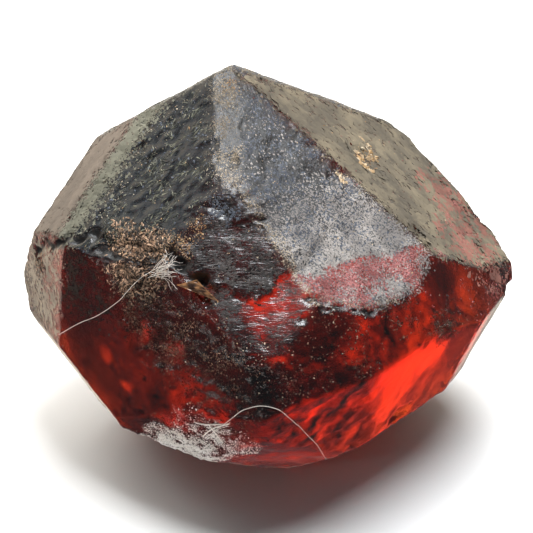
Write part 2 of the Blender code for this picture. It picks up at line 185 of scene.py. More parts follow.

# The lower edge of the dark film of painted shade on the front, left to right, and the cover left under it
# along X, where it thins to let the red glow through
SHADE_FILM_EDGE = [
    (-3.3, -10.2, 5.1),
    (-2.4, -10.5, 4.8),
    (-0.4, -10.8, 4.5),
    (0.2, -10.5, 5.0),
    (1.2, -9.9, 5.7),
    (2.6, -9.3, 5.3),
    (3.6, -8.6, 5.1),
    (4.7, -7.6, 5.1),
    (6.5, -6.3, 4.8),
    (7.7, -5.3, 4.7),
]
COVER_UNDER_EDGE = ((-3.3, 0.80), (-0.9, 0.75), (0.1, 0.20), (1.6, 0.45), (2.6, 0.15), (8.0, 0.08))

# Places where the dark film of painted shade is thinner, letting the red glow through, or thicker, as in the
# hollow, than on the rest of their face: centre, radius, cover
SHADE_FILM_SPOTS = {
    "front_red_patch": ((0.3, -11.6, 3.8), 1.5, 0.16),
    "front_red_foot": ((0.6, -12.6, 2.4), 1.2, 0.45),
    "front_left_red_patch": ((-3.8, -11.5, -0.8), 2.1, 0.34),
    "front_left_red_foot": ((-2.2, -12.6, -1.0), 1.2, 0.36),
    "front_left_upper_spot": ((-5.9, -9.7, 1.9), 0.6, 0.35),
    "front_left_middle_spot": ((-4.4, -10.6, 1.4), 0.8, 0.55),
    "front_right_low": ((2.0, -13.0, 0.6), 1.8, 0.50),
    "front_right_side": ((4.6, -11.3, 1.4), 1.6, 0.50),
    "front_right_streak": ((5.0, -10.8, 2.6), 0.8, 0.35),
    "left_edge_low": ((-8.9, -7.0, -4.4), 2.6, 0.00),
    "left_edge_upper": ((-10.5, -5.5, -1.4), 2.0, 0.05),
    "left_glow": ((-7.0, -9.0, -1.7), 0.55, 0.0),
    "left_upper_glow": ((-8.1, -7.9, -0.4), 0.60, 0.20),
    "right_glow": ((2.2, -12.6, -0.8), 1.0, 0.25),
    "left_foot_low": ((-5.0, -10.9, -2.4), 1.5, 0.10),
    "under_right_bright": ((7.2, -7.6, -4.0), 3.6, 0.20),
    "under_left_patch": ((-5.4, -10.5, -1.4), 1.3, 0.85),
    # The hollow is painted shade: the film is whole there
    "hollow": ((-1.9, -8.0, 7.8), 1.5, 1.0),
    "lower_right_head": ((6.8, -9.3, 2.9), 2.0, 0.75),
    "side_dark_patch": ((8.9, -6.0, 2.9), 1.7, 0.92),
    "side_red_patch": ((10.3, -4.9, 1.2), 1.3, 0.12),
    "side_granular_patch": ((9.2, -7.0, 0.9), 1.2, 0.70),
    "side_glow": ((10.2, -5.4, -0.8), 0.9, 0.00),
    "far_right_red_rim": ((10.4, 3.5, 2.4), 1.3, 0.35),
    "far_right_low": ((10.6, -0.4, 2.4), 2.2, 0.55),
    "red_rim": ((0.6, -8.6, -6.2), 2.5, 0.05),
}
STREAKED = ("lower_right", "under_right", "under_right_rim")
UPPER_FACES = ("centre", "ridge_strip", "upper_left", "upper_right")
# The share of light that the whole dark film of painted shade lets through
SHADE_FILM_LEFT = 0.012

CRUMBLED_CENTRE = (-6.4, -8.6, 5.0)
CRUMBLED_RADIUS = 2.2
CRUMBLED_RELIEF = 0.16
CRUMBLED_LUMPS_PER_MM = 1.3
CRUMBLED_GRAINS = 0.10

# How widely one face passes into the next, in millimetres: for the coarse relief, for the fine relief
# and for the way outward, and how far an edge reaches, with the depth of the bites out of it
COARSE_BLEND = 0.25
FINE_BLEND = 0.12
OUTWARD_BLEND = 0.08
RIM_REACH = 0.35
BITE_DEPTH = 0.18

# Small chips, flakes and crests on the skin, one piece for each kind. Some kinds are painted light or shade:
# glints, crest highlights, red glow and shade.
#   size: least and greatest length in millimetres, then width and thickness as shares of that
#   colours: a dark and a light colour, and a roughness
#   faces, edges, foot, crumbled: how thickly it lies on each face, along the edges between them,
#     along the foot of the upper left face, and on the crumbled patch
#   lines, spots: where more of it gathers, with the width or radius and how thickly
#   heights: how much of it is left at each height above the crystal's centre
#   even: spread without thin and thick patches
#   on_shade_film: 1 keeps it to the dark film of painted shade and -1 keeps it off
#   lie: the way that its pieces point
#   lift: how far over the skin it lies, in millimetres
#   speckle, tone: how much its colours differ from piece to piece, and how far they lean to the dark
SPECKLED_BACK = {"back_top": 0.4, "back_left_top": 0.4, "back_right_top": 0.4, "back_upper_left": 0.3}
CHIP_SEED = 700
CHIP_CORNERS = 6
SKIN = {"even": True, "lift": 0.008, "speckle": 0.3, "tone": 1.0}
CHIPS = {
    # Pale specks: partly pale dust, partly painted glints; the lines along the upper edges paint edge
    # highlights
    "pale_specks_and_glints": {
        "count": 16000,
        "size": (0.018, 0.060, 0.8, 0.5),
        "colours": ((0.19, 0.146, 0.095), (0.72, 0.595, 0.445), 0.6),
        "faces": {"ridge_strip": 3.2, "upper_left": 0.015, "upper_right": 0.06, "centre": 0.02}
        | {"left_rim": 0.3, "front_left": 0.02, "front_right": 0.02, "front_strip": 0.05}
        | {"lower_right": 0.005}
        | SPECKLED_BACK,
        "edges": 0.4,
        "foot": 0.25,
        "lines": [([(-1.0, -7.4, 8.4), (0.6, -9.1, 6.5), (1.7, -10.3, 5.2), (2.4, -11.0, 4.4)], 0.40, 3.0)]
        + [([(2.3, -10.7, 4.7), (4.1, -10.4, 3.9), (5.5, -9.8, 3.4), (6.5, -9.0, 3.3)], 0.30, 1.8)]
        + [([(3.9, -3.6, 7.7), (5.8, -4.0, 6.2), (7.8, -4.3, 4.6), (9.0, -4.6, 3.9)], 0.40, 0.5)],
    },
    "blue_grey_flakes": {
        "count": 11000,
        "size": (0.030, 0.110, 0.7, 0.15),
        "colours": ((0.046, 0.053, 0.072), (0.18, 0.198, 0.235), 0.7),
        "faces": {"upper_right": 0.8, "ridge_strip": 0.25, "upper_left": 0.08, "centre": 0.02}
        | {"back_right_top": 0.6, "back_upper_right": 0.5, "back_top": 0.3},
        "on_shade_film": 1,
        "heights": ((4.5, 0.5), (8.0, 1.0)),
        "spots": [((-2.1, -7.9, 7.8), 1.1, 2.0)],
    },
    "mauve_flakes": {
        "count": 15500,
        "size": (0.035, 0.100, 0.7, 0.12),
        "colours": ((0.205, 0.186, 0.176), (0.44, 0.400, 0.368), 0.7),
        "faces": {"upper_right": 0.8, "back_right_top": 0.3},
        "on_shade_film": 1,
        "even": True,
        "heights": ((5.2, 1.0), (6.5, 0.65), (8.2, 0.04)),
        "speckle": 0.35,
    },
    # Painted red glow: pink grains where the film is thin, standing in for light shining through from below
    "painted_glow_grains": {
        "count": 6000,
        "size": (0.030, 0.100, 0.7, 0.30),
        "colours": ((0.18, 0.040, 0.038), (0.52, 0.21, 0.20), 0.6),
        "faces": {"upper_right": 0.8, "side_right_rim": 0.12, "side_right": 0.03, "far_right": 0.04},
        "on_shade_film": -1,
        "spots": [((10.4, 3.5, 2.4), 1.0, 0.4), ((10.6, -0.4, 2.4), 2.2, 0.20), ((9.0, -4.6, 3.9), 0.8, 0.6)],
    },
    "olive_strands": {
        "count": 7000,
        "size": (0.08, 0.28, 0.15, 0.12),
        "colours": ((0.008, 0.010, 0.011), (0.36, 0.35, 0.25), 0.6),
        "faces": {"upper_left": 0.8, "back_left_top": 0.6, "back_upper_left": 0.5},
        "lie": (-0.35, 0.1, -0.9),
        "speckle": 0.9,
        "tone": 3.0,
    },
    "brown_skin": {
        "count": 5000,
        "size": (0.16, 0.38, 0.8, 0.02),
        "colours": ((0.088, 0.074, 0.056), (0.222, 0.182, 0.122), 0.6),
        "faces": {"far_right": 1.0},
        "on_shade_film": 1,
    }
    | SKIN,
    "russet_skin": {
        "count": 1500,
        "size": (0.12, 0.30, 0.8, 0.02),
        "colours": ((0.160, 0.062, 0.047), (0.320, 0.130, 0.097), 0.6),
        "faces": {},
        "on_shade_film": 1,
        "spots": [((10.6, 3.2, 2.3), 3.6, 1.0), ((11.0, -1.2, 2.0), 3.2, 1.0)],
    }
    | SKIN
    | {"even": False, "lift": 0.012},
    "pale_skin": {
        "count": 700,
        "size": (0.10, 0.26, 0.8, 0.02),
        "colours": ((0.230, 0.180, 0.135), (0.420, 0.340, 0.250), 0.6),
        "faces": {"left_rim": 1.0},
    }
    | SKIN,
    "rose_skin": {
        "count": 1800,
        "size": (0.15, 0.36, 0.8, 0.02),
        "colours": ((0.110, 0.086, 0.067), (0.170, 0.132, 0.102), 0.6),
        "faces": {"far_left": 1.0},
    }
    | SKIN,
    "band_skin": {
        "count": 2500,
        "size": (0.13, 0.32, 0.8, 0.02),
        "colours": ((0.120, 0.116, 0.085), (0.195, 0.187, 0.140), 0.7),
        "faces": {"left_band": 1.0},
    }
    | SKIN,
    # Painted shade: dark flakes on the left faces, only higher up, where light from below doesn't reach
    "painted_shade_flakes": {
        "count": 1200,
        "size": (0.04, 0.12, 0.8, 0.02),
        "colours": ((0.012, 0.008, 0.005), (0.050, 0.036, 0.022), 0.6),
        "faces": {"left": 1.0, "left_foot": 0.4},
        "on_shade_film": 1,
        "heights": ((0.5, 0.0), (3.0, 1.0)),
    },
    "centre_skin": {
        "count": 3000,
        "size": (0.06, 0.20, 0.30, 0.03),
        "colours": ((0.016, 0.013, 0.012), (0.090, 0.074, 0.068), 0.6),
        "faces": {"centre": 1.0, "front_strip": 0.5, "back_top": 0.3},
        "on_shade_film": 1,
        "lie": (1.0, 0.0, 0.12),
    },
    # Painted highlights: pale streaks along the crests of the growth waves
    "painted_crest_highlights": {
        "count": 2800,
        "size": (0.06, 0.22, 0.07, 0.10),
        "colours": ((0.045, 0.036, 0.032), (0.25, 0.205, 0.19), 0.5),
        "faces": {"centre": 0.7, "front_strip": 0.40, "front_left": 0.04, "back_top": 0.6},
        "lie": (1.0, 0.0, 0.12),
        "lines": [([(-0.6, -9.3, 6.3), (0.8, -10.2, 5.4), (1.6, -10.9, 4.6), (0.9, -12.2, 2.9)], 1.0, 1.0)],
    },
    "golden_specks": {
        "count": 900,
        "size": (0.025, 0.075, 0.7, 0.6),
        "colours": ((0.34, 0.17, 0.07), (0.90, 0.70, 0.42), 0.5),
        "faces": {"upper_left": 0.012, "upper_right": 0.006, "centre": 0.006, "far_right": 0.006}
        | {"back_top": 0.01},
        "foot": 0.25,
        "spots": [((-4.2, -9.0, 6.3), 0.9, 1.4), ((-3.3, -8.4, 7.1), 0.7, 1.6), ((-7.2, -7.2, 5.5), 0.9, 0.4)]
        + [((-1.6, -1.8, 11.6), 0.9, 0.7), ((-12.2, -2.2, 1.2), 0.5, 0.6), ((5.2, 0.8, 6.6), 1.2, 0.5)],
    },
    "golden_flakes": {
        "count": 150,
        "size": (0.10, 0.30, 0.6, 0.4),
        "colours": ((0.40, 0.24, 0.10), (0.95, 0.82, 0.62), 0.4),
        "faces": {},
        "spots": [((5.0, -0.5, 6.8), 0.6, 6.0), ((5.3, -0.6, 6.6), 0.6, 6.0), ((5.0, 0.3, 6.8), 0.5, 5.0)]
        + [((5.5, 1.2, 6.5), 0.6, 3.0), ((5.3, 2.2, 6.6), 0.5, 2.0), ((3.9, -3.8, 7.6), 0.35, 5.0)]
        + [((9.7, 0.0, 3.1), 0.25, 0.8), ((-4.2, -9.0, 6.3), 0.4, 0.8)],
    },
    "brown_crumbs": {
        "count": 4500,
        "size": (0.035, 0.20, 0.35, 0.35),
        "colours": ((0.006, 0.004, 0.003), (0.84, 0.53, 0.34), 0.6),
        "faces": {},
        "foot": 0.35,
        "crumbled": 1.0,
        "spots": [((-12.0, -2.5, 2.0), 1.0, 0.4)],
        "speckle": 0.85,
        "tone": 2.3,
    },
    "brown_grains": {
        "count": 8500,
        "size": (0.018, 0.070, 0.8, 0.7),
        "colours": ((0.012, 0.005, 0.003), (0.34, 0.19, 0.12), 0.45),
        "faces": {"front_left": 0.35, "front_right": 0.20, "side_right_foot": 0.8, "lower_right": 0.06}
        | {"under_left": 0.15, "front_strip": 0.2},
        "spots": [((9.2, -7.0, 0.9), 1.5, 1.0), ((7.0, -9.0, 2.6), 1.4, 0.6), ((-6.0, -9.3, 2.8), 2.0, 1.4)]
        + [((-4.6, -10.5, 2.0), 1.8, 1.2), ((-3.0, -11.7, 1.2), 1.4, 0.5)],
        "tone": 2.6,
    },
    # White powder grains, partly painted light: their whiteness also paints the glare of light from below on
    # this patch
    "frost_and_glare_grains": {
        "count": 14000,
        "size": (0.014, 0.056, 0.8, 0.8),
        "colours": ((0.72, 0.66, 0.60), (0.97, 0.95, 0.92), 0.6),
        "faces": {},
        "spots": [((-4.6, -9.4, -4.9), 2.0, 1.0), ((-3.2, -10.0, -4.9), 1.6, 1.0)]
        + [((-5.6, -8.9, -4.6), 0.9, 0.8)]
        + [((-2.6, -11.2, -3.6), 1.9, 0.30), ((-2.6, -11.2, -3.4), 2.8, 0.12)],
    },
}

# Lint: each fibre's thickness in millimetres, how high it stands off the skin, and its points
FIBRES = (
    (0.014, 0.05, [(-4.9, -9.5, 5.7), (-6.2, -8.9, 4.4), (-7.2, -8.5, 3.0), (-8.3, -7.6, 1.7)]
        + [(-9.4, -6.5, 0.6), (-10.6, -5.4, -0.7)]),
    (0.014, 0.05, [(-3.0, -11.0, -3.4), (-1.8, -12.9, -1.2), (-1.0, -13.3, -0.3), (-0.2, -13.7, 0.1)]
        + [(0.7, -13.8, -0.1), (1.2, -13.2, -0.9), (2.0, -11.9, -2.6), (2.6, -10.6, -4.1)]
        + [(3.1, -8.3, -6.3)]),
    (0.045, 0.04, [(-3.4, -11.4, -2.1), (-3.0, -11.8, -2.1), (-2.6, -12.1, -1.9), (-2.1, -12.2, -1.7)]),
    (0.040, 0.04, [(-2.8, -11.9, -2.0), (-2.5, -11.8, -2.6), (-2.1, -11.4, -3.4)]),
    (0.040, 0.04, [(-3.1, -11.2, -3.2), (-2.7, -11.6, -2.5), (-2.3, -12.0, -2.0), (-1.7, -12.5, -1.4)]),
)
TANGLE_CENTRE = (-4.9, -9.4, 5.3)
TANGLE_FIBRES = 30
TANGLE_SEED = 81
FIBRE_STEP = 0.12

# The amber splinter under the crevice: its three corners, its colours as for the chips, how far it
# stands out, its lumps, how deep its root is, and its rows of facets
AMBER_SLIVER = ((-4.3, -10.0, 4.7), (-2.2, -11.0, 4.3), (-3.3, -10.2, 5.1))
AMBER_COLOURS = ((0.035, 0.013, 0.007), (0.42, 0.20, 0.08), 0.35)
AMBER_STANDS = 0.10
AMBER_LUMPS = 0.07
AMBER_ROOT = 0.5
AMBER_ROWS = 14

# The camera, in millimetres from the crystal's centre
CAMERA_AT = (0.05, -109.07, 58.39)
CAMERA_PITCH_DOWN = 28.0
CAMERA_LENS = 156.15

# The garnet: its refraction, what its volume lets through, its clean surface and its surface under the dark
# film of painted shade, and how rough these are from polished to frosted
GARNET_IOR = 1.79
VOLUME_COLOUR = (0.983, 0.76, 0.60, 1)
VOLUME_DENSITY = 700.0
CLEAN_TINT = (1.0, 0.93, 0.9, 1)
# Near black: the tint of the dark film, painted shade
SHADE_FILM_TINT = (0.00003, 0.0004, 0.0006, 1)
ROUGH_RANGE = (0.06, 0.40)
BUMP_DEPTH = 0.00005

FLOOR_RADIUS = 0.6
FLOOR_SIDES = 96
FLOOR_SINKS = 0.00003

# The sky is dark except for one bright side: the way to it, where it starts and ends, its strengths
# and its colours
SKY_WAY = (-0.25, 1.0, 0.22)
SKY_EDGE = (0.52, 0.69)
SKY_STRENGTH = (0.10, 0.95)
SKY_COLOURS = ((0.80, 0.90, 1.0, 1), (1.0, 0.90, 0.72, 1))

# Each studio light's place, width, power and colour, and whether polished surfaces show it
STUDIO_LIGHTS = {
    "key": ((0.045, 0.0, 0.29), 0.17, 1.1, (0.94, 0.97, 1.0), True),
    "back": ((-0.075, 0.28, 0.09), 0.16, 0.13, (1.0, 0.96, 0.90), True),
    "left": ((-0.21, 0.054, 0.22), 0.14, 0.035, (0.72, 0.86, 1.0), True),
    "front": ((-0.225, -0.18, 0.09), 0.03, 0.045, (1.0, 0.97, 0.92), True),
    "fill": ((-0.05, 0.12, 0.28), 0.26, 0.65, (1.0, 0.99, 0.98), False),
    "glow": ((-0.20, 0.25, 0.15), 0.20, 0.65, (1.0, 0.96, 0.90), False),
}
LIGHTS_AIM = (0, 0, 0.01)


def crystal_planes():
    angles = [math.radians(a) for a in (CRYSTAL_LEAN_X, CRYSTAL_LEAN_Y, CRYSTAL_TURN_Z)]
    rotation = Euler(angles, "XYZ").to_matrix()
    normals = np.array([tuple(rotation @ Vector(face[0]).normalized()) for face in FACES.values()])
    distances = np.array([face[1] for face in FACES.values()])
    return normals, distances


def share_of(weights, column, value):
    """How much each point belongs to the faces with this relief (column 2) or this fine surface (3)."""
    chosen = [face[column] == value for face in FACES.values()]
    return weights[:, chosen].sum(axis=1)


def noise_at(points, lumps_per_mm, seed, octaves=3):
    shift = Vector((11.3, 5.7, 3.1)) * seed
    values = [noise.fractal(Vector(p) * lumps_per_mm + shift, 0.9, 2.1, octaves) for p in points]
    return np.array(values)


def masked(points, mask, function):
    """The function's values where the mask is above nothing, and zero elsewhere."""
    values = np.zeros(len(points))
    chosen = mask > 0.01
    if chosen.any():
        values[chosen] = function(points[chosen])
    return values


def worn_surface(points, normals, distances):
    reach = np.linalg.norm(points, axis=1)
    rays = points / reach[:, None]
    facing = rays @ normals.T
    vary = 1 + WEAR_VARIES * noise_at(points, WEAR_LUMPS_PER_MM, 1)
    rounding = WEAR_ROUND * np.clip(vary, 0.35, 2.2)
    for _ in range(25):
        excess = (facing * reach[:, None] - distances) / rounding[:, None]
        weight = np.exp(np.clip(excess, -60, 40))
        total = weight.sum(axis=1)
        reach = reach - rounding * np.log(total) / ((weight * facing).sum(axis=1) / total)
    return rays * reach[:, None]


def face_weights(points, normals, distances, blend):
    depth = points @ normals.T - distances
    weight = np.exp((depth - depth.max(axis=1, keepdims=True)) / blend)
    return weight / weight.sum(axis=1, keepdims=True)


def rim_nearness(points, normals, distances, reach):
    """1 on an edge between two faces, falling to 0 this far from it."""
    depth = np.sort(points @ normals.T - distances, axis=1)
    return np.clip(1 - (depth[:, -1] - depth[:, -2]) / reach, 0, 1)


def line_distance(points, corners):
    nearest = np.full(len(points), 1e9)
    side = np.zeros(len(points))
    for start, end in zip(corners, corners[1:]):
        start, end = np.array(start), np.array(end)
        run = end - start
        share = np.clip((points - start) @ run / (run @ run), 0, 1)
        offset = points - (start + share[:, None] * run)
        gap = np.linalg.norm(offset, axis=1)
        outward = (start + end) / np.linalg.norm(start + end)
        turn = np.cross(run, outward) / np.linalg.norm(run)
        closer = gap < nearest
        nearest = np.where(closer, gap, nearest)
        side = np.where(closer, offset @ turn, side)
    return nearest, side


def wandered(points):
    """The points shaken a little, so that a line found from them comes out ragged."""
    shake = [noise_at(points, WANDER_PER_MM, seed, 2) for seed in (51, 52, 53)]
    return points + WANDER * np.column_stack(shake)


def ledge_drop(points):
    depth = np.zeros(len(points))
    for corners, drop, fade in LEDGES.values():
        gap, side = line_distance(points, corners)
        step = np.clip(side / LEDGE_WIDTH, 0, 1)
        depth += drop * step * np.exp(-((gap / fade) ** 2) * 2)
    return depth


def groove_drop(points, ragged):
    depth = np.zeros(len(points))
    for corners, deepest, half_width in GROOVES.values():
        gap, _side = line_distance(points, corners)
        depth = np.maximum(depth, deepest * np.clip(1.1 - gap / half_width, 0, 1))
    return depth * ragged


def scoop_drop(points):
    depth = np.zeros(len(points))
    for centre, radius, deepest in SCOOPS.values():
        gap = np.linalg.norm(points - np.array(centre), axis=1)
        depth = np.maximum(depth, deepest * np.clip(1.1 * (1 - (gap / radius) ** 2), 0, 1))
    return depth


def base_drop(points):
    climb = np.clip((points[:, 2] + BASE_DISTANCE) / BASE_CHIPPING_HEIGHT, 0, 1)
    lumps = np.clip(0.35 + noise_at(points, BASE_LUMPS_PER_MM, 8), 0, 1)
    return BASE_CHIPPING * lumps * (1 - climb) ** 2


def crumbled(points):
    gap = np.linalg.norm(points - np.array(CRUMBLED_CENTRE), axis=1)
    return np.clip(1.3 * (1 - gap / CRUMBLED_RADIUS), 0, 1)


def coarse_relief(points, normals, distances):
    weights = face_weights(points, normals, distances, COARSE_BLEND)
    height = np.zeros(len(points))
    for number, (size, lumps_per_mm) in enumerate(RELIEFS.values()):
        share = share_of(weights, 2, list(RELIEFS)[number])
        height += share * size * noise_at(points, lumps_per_mm, 2 + number)
    lumps = noise_at(points, CRUMBLED_LUMPS_PER_MM, 9)
    return height + crumbled(points) * CRUMBLED_RELIEF * lumps


def squeezed(points, direction, keep):
    """The points with their spread along this direction cut down: noise there runs in streaks."""
    direction = np.array(direction) / np.linalg.norm(direction)
    along = points @ direction
    return points - np.outer(along * (1 - keep), direction)


def strands(points):
    """Fine etching in strands that run down the upper left face."""
    bent = points + 0.25 * noise_at(points, 0.8, 21)[:, None]
    return noise_at(squeezed(bent, (-0.35, 0.1, -0.9), 0.35), 2.6, 22, 2)


def frosted(points):
    """Even, fine etching with small sunk flecks."""
    fine = noise_at(squeezed(points, (0.8, 0.2, -0.4), 0.6), 2.6, 23, 2)
    flecks = np.clip(noise_at(points, 1.9, 24) - 0.22, 0, 1)
    return 0.8 * fine - 2.2 * flecks


def waves(points):
    """Shallow growth waves that run across the front face, with crests that branch."""
    bent = points + 0.45 * noise_at(points, 0.5, 25)[:, None] * np.array((0, 0.3, 1.0))
    streaks = squeezed(bent, (1.0, 0.0, 0.12), 0.22)
    crests = 1 - 2.2 * np.abs(noise_at(streaks, 2.1, 26))
    return 0.8 * crests + 0.5 * noise_at(streaks, 4.5, 27)


def grains(points):
    """Crowded granules with flat tops, and gaps between them."""
    values = []
    for point in points:
        gaps = noise.voronoi(Vector(point) * 2.9 + Vector((4.1, 7.7, 1.9)))[0]
        values.append(gaps[1] - gaps[0])
    lumps = np.clip(np.array(values) * 2.6, 0, 1)
    return lumps - 0.5 + 0.9 * noise_at(squeezed(points, (1.0, 0.1, 0.1), 0.5), 2.6, 28)


def pitted(points):
    """Nearly even skin with scattered pits."""
    pits = np.clip(noise_at(points, 2.2, 29) - 0.30, 0, 1)
    return 0.5 * noise_at(squeezed(points, (0.1, 0.1, 1.0), 0.4), 2.5, 30) - 3.0 * pits


def satin(points):
    return noise_at(points, 1.2, 31)


def polished(points):
    return noise_at(squeezed(points, (0.0, 0.1, 1.0), 0.4), 0.7, 32)


FINE_SURFACES = {
    "strands": (strands, 0.060),
    "frosted": (frosted, 0.034),
    "waves": (waves, 0.038),
    "grains": (grains, 0.060),
    "pitted": (pitted, 0.020),
    "satin": (satin, 0.010),
    "polished": (polished, 0.004),
}


def fine_relief(points, weights):
    height = np.zeros(len(points))
    for name, (function, size) in FINE_SURFACES.items():
        share = share_of(weights, 3, name)
        height += share * size * masked(points, share, function)
    return height


def nibbled(points, rim):
    """Small bites out of the worn edges."""
    bites = np.clip(masked(points, rim, lambda p: noise_at(p, 2.2, 33)) - 0.12, 0, 1)
    return BITE_DEPTH * bites * rim


def halved(points, triangles):
    """Every triangle cut into four at the middles of its sides."""
    sides = np.vstack([triangles[:, [0, 1]], triangles[:, [1, 2]], triangles[:, [2, 0]]])
    sides = np.sort(sides, axis=1)
    unique, inverse = np.unique(sides, axis=0, return_inverse=True)
    middle = len(points) + inverse.reshape(3, -1).T
    points = np.vstack([points, points[unique].mean(axis=1)])
    a, b, c = triangles.T
    ab, bc, ca = middle.T
    quarters = [(a, ab, ca), (ab, b, bc), (ca, bc, c), (ab, bc, ca)]
    return points, np.vstack([np.column_stack(quarter) for quarter in quarters])


def node_mesh(name):
    """The CAD node's points, in millimetres from the crystal's centre, and its triangles."""
    mesh = bmesh.new()
    mesh.from_mesh(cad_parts[name].data)
    bmesh.ops.remove_doubles(mesh, verts=mesh.verts[:], dist=1e-6)
    bmesh.ops.triangulate(mesh, faces=mesh.faces[:])
    points = np.array([tuple(vert.co) for vert in mesh.verts]) / MM
    triangles = np.array([[vert.index for vert in face.verts] for face in mesh.faces])
    mesh.free()
    return points - np.array(CENTRE), triangles


def add_mesh(name, points, triangles, material, smooth=True):
    """A mesh piece from points in millimetres from the crystal's centre."""
    mesh = bpy.data.meshes.new(name)
    places = (np.asarray(points) + np.array(CENTRE)) * MM
    mesh.from_pydata(places.tolist(), [], np.asarray(triangles).tolist())
    obj = bpy.data.objects.new(name, mesh)
    bpy.context.scene.collection.objects.link(obj)
    mesh.materials.append(material)
    if smooth:
        mesh.shade_smooth()
    return obj


def add_mask(obj, name, values):
    layer = obj.data.attributes.new(name, "FLOAT", "POINT")
    layer.data.foreach_set("value", np.asarray(values, dtype=np.float32))


def shade_film_cover(points, weights, etched, sunk):
    """The dark film of painted shade: whole on the upper faces, broken up on others, thin below the plate's
    edge to let the red glow through, and whole in the grooves.
    """
    cover = weights @ np.array([face[4] for face in FACES.values()])
    gap, side = line_distance(points, SHADE_FILM_EDGE)
    names = list(FACES)
    plate = weights[:, names.index("centre")] + weights[:, names.index("upper_right")]
    reach = np.interp(points[:, 0], (1.6, 2.6), (4.0, 8.0))
    below = plate * np.clip(side / 0.25, 0, 1) * np.clip(1.5 * (1 - gap / reach), 0, 1)
    thin = np.interp(points[:, 0], *zip(*COVER_UNDER_EDGE))
    cover += below * (thin - cover)
    for centre, radius, left in SHADE_FILM_SPOTS.values():
        near = np.clip(1.5 * (1 - np.linalg.norm(points - np.array(centre), axis=1) / radius), 0, 1)
        cover += near * (left - cover)
    blotches = 0.6 * noise_at(points, 0.6, 41) + 0.5 * noise_at(points, 2.0, 42)
    blotches *= np.clip(etched * 1.6, 0.15, 1)
    streaks = noise_at(squeezed(points, (0.25, 0.15, 1.0), 0.15), 1.6, 43)
    streaked = weights[:, [name in STREAKED for name in names]].sum(axis=1)
    blotches += 0.8 * streaked * (streaks + 0.15)
    cover = np.clip(cover + blotches * (1 - np.abs(2 * cover - 1)), 0, 1)
    # Painted shade in the grooves: the film is whole there, so they come out black
    cover = np.maximum(cover, np.clip(sunk / 0.10, 0, 1))
    return (1 - SHADE_FILM_LEFT**cover) / (1 - SHADE_FILM_LEFT)


def make_stone():
    normals, distances = crystal_planes()
    points, triangles = node_mesh("garnet_crystal")
    for _ in range(2):
        points, triangles = halved(points, triangles)
    on_base = points[:, 2] < 0.001 - BASE_DISTANCE
    worn = worn_surface(points, normals, distances)
    outward = face_weights(worn, normals, distances, OUTWARD_BLEND) @ normals
    outward /= np.linalg.norm(outward, axis=1)[:, None]
    shaken = wandered(worn)
    ragged = np.clip(0.75 + 1.2 * noise_at(worn, 1.1, 54), 0.1, 1.3)
    sunk = groove_drop(shaken, ragged)
    pressed = ledge_drop(shaken) + sunk + scoop_drop(shaken) + base_drop(worn)
    weights = face_weights(worn, normals, distances, FINE_BLEND)
    rim = rim_nearness(worn, normals, distances, RIM_REACH)
    height = coarse_relief(worn, normals, distances) - pressed
    height += fine_relief(worn, weights) - nibbled(worn, rim)
    crumbs = crumbled(worn)
    height += crumbs * CRUMBLED_GRAINS * masked(worn, crumbs, grains)
    stone = worn + outward * height[:, None]
    stone[on_base] = points[on_base]
    stone[:, 2] = np.maximum(stone[:, 2], -BASE_DISTANCE)
    obj = add_mesh("garnet_crystal_surface", stone, triangles, garnet_material())
    etched = sum(share_of(weights, 3, name) * value for name, value in ETCHED.items())
    etched[on_base] = 1.0
    add_mask(obj, "etched", np.maximum(etched, np.clip(sunk / 0.08, 0, 1)))
    # The dark film mask is painted shade: it darkens the upper faces, grooves and hollow, and thins where the
    # red glow shows
    shade_film = shade_film_cover(shaken, weights, etched, sunk)
    add_mask(obj, "shade_film", shade_film)
    add_mask(obj, "streaked", share_of(weights, 3, "waves"))
    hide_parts("garnet_crystal")
    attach(obj, "root")
    kept = {"points": stone, "triangles": triangles, "worn": worn, "weights": weights}
    return kept | {"rim": rim, "shade_film": shade_film, "sunk": sunk}


def near_spots(points, spots):
    """How strongly each point lies in any of these spots, given as centre, radius and strength."""
    strength = np.zeros(len(points))
    for centre, radius, much in spots:
        gap = np.linalg.norm(points - np.array(centre), axis=1)
        strength = np.maximum(strength, much * np.clip(1.4 * (1 - gap / radius), 0, 1))
    return strength


def chip_chance(stone, kind):
    """How thickly this kind of chip lies at every point of the skin."""
    points, weights = stone["worn"], stone["weights"]
    names = list(FACES)
    sharp = weights**4 / (weights**4).sum(axis=1, keepdims=True)
    chance = np.zeros(len(points))
    for name, density in kind["faces"].items():
        chance += density * sharp[:, names.index(name)]
    if not kind.get("even"):
        chance *= np.clip(0.55 + 1.2 * noise_at(points, 0.9, 61) + 0.8 * noise_at(points, 2.4, 62), 0.04, 2)
    upper = sum(weights[:, names.index(name)] for name in UPPER_FACES)
    edge = stone["rim"] * upper * np.clip(0.5 + 1.5 * noise_at(points, 1.6, 63), 0.05, 2)
    chance += kind.get("edges", 0) * edge
    foot = line_distance(points, LEDGES["upper_left_foot"][0])[0]
    chance += kind.get("foot", 0) * np.clip(1 - foot / 1.2, 0, 1)
    chance += kind.get("crumbled", 0) * crumbled(points)
    for corners, width, density in kind.get("lines", ()):
        chance += density * np.clip(1 - line_distance(points, corners)[0] / width, 0, 1)
    chance *= np.interp(points[:, 2], *zip(*kind.get("heights", ((0, 1), (1, 1)))))
    broken = np.clip(0.5 + 1.4 * noise_at(points, 1.7, 64), 0.05, 1.5)
    chance *= {1: 0.12 + 0.88 * stone["shade_film"] ** 4, -1: 1 - stone["shade_film"] ** 4, 0: 1}[kind.get("on_shade_film", 0)]
    chance += near_spots(points, kind.get("spots", ())) * broken
    # Chips stay out of the grooves, so that the painted shade in them shows
    return chance * np.clip(1 - stone["sunk"] / 0.12, 0, 1)


